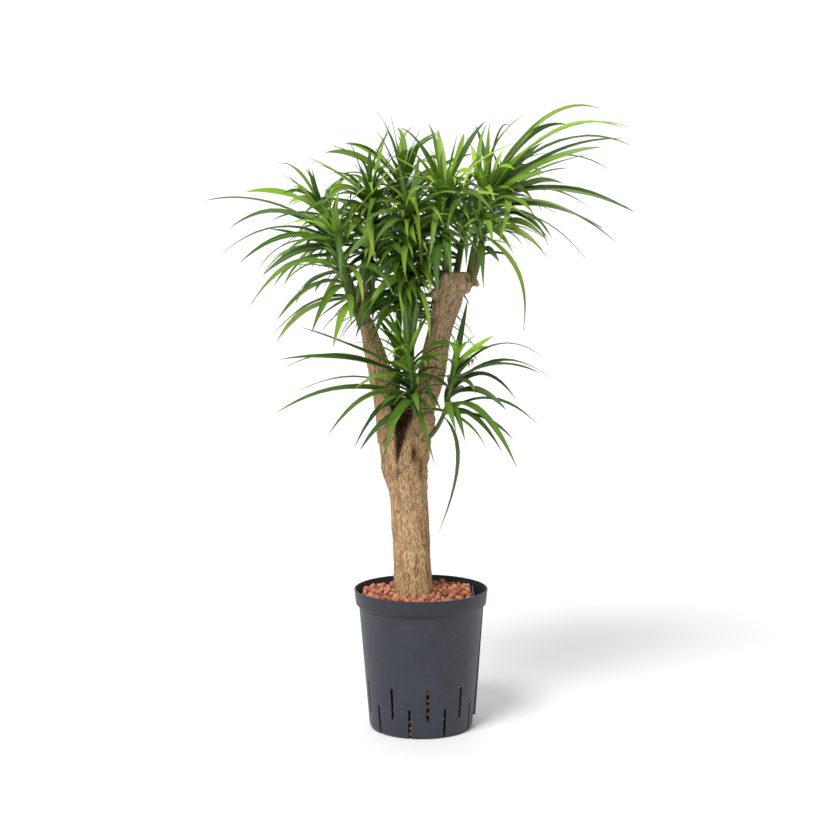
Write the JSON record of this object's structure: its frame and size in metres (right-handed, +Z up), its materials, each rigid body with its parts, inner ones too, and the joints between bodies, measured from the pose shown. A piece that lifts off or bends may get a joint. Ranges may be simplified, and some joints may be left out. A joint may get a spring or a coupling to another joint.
{
  "type": "potted song of india",
  "caption": "Potted song of india in its green-leaved form: a sawn-back, forked trunk with leafy shoots, standing in clay granules in a slotted culture pot.",
  "frame": {"origin": "centre of the pot's underside", "axes": "+Z up along the pot's axis, front towards -Y, +X to the right seen from the front"},
  "size_m": [0.564, 0.3458, 0.8343],
  "materials": {
    "pot_plastic": "satin dark slate grey injection-moulded plastic",
    "clay": "matt porous fired clay granules",
    "bark": "matt, finely fissured tan bark",
    "foliage": "waxy semi-gloss green leaf and stem"
  },
  "bodies": {
    "root": {"pot": "pot_plastic", "clay_granules": "clay", "trunk": "bark", "shoot_left_front": "foliage", "shoot_left_outer": "foliage", "shoot_left_low": "foliage", "shoot_left_back": "foliage", "shoot_left_inner": "foliage", "shoot_middle": "foliage", "shoot_middle_front": "foliage", "shoot_top": "foliage", "shoot_right_top": "foliage", "shoot_right_outer": "foliage", "shoot_right_front": "foliage", "shoot_right_back": "foliage", "shoot_low_front": "foliage", "shoot_low_right": "foliage"}
  },
  "joints": []
}
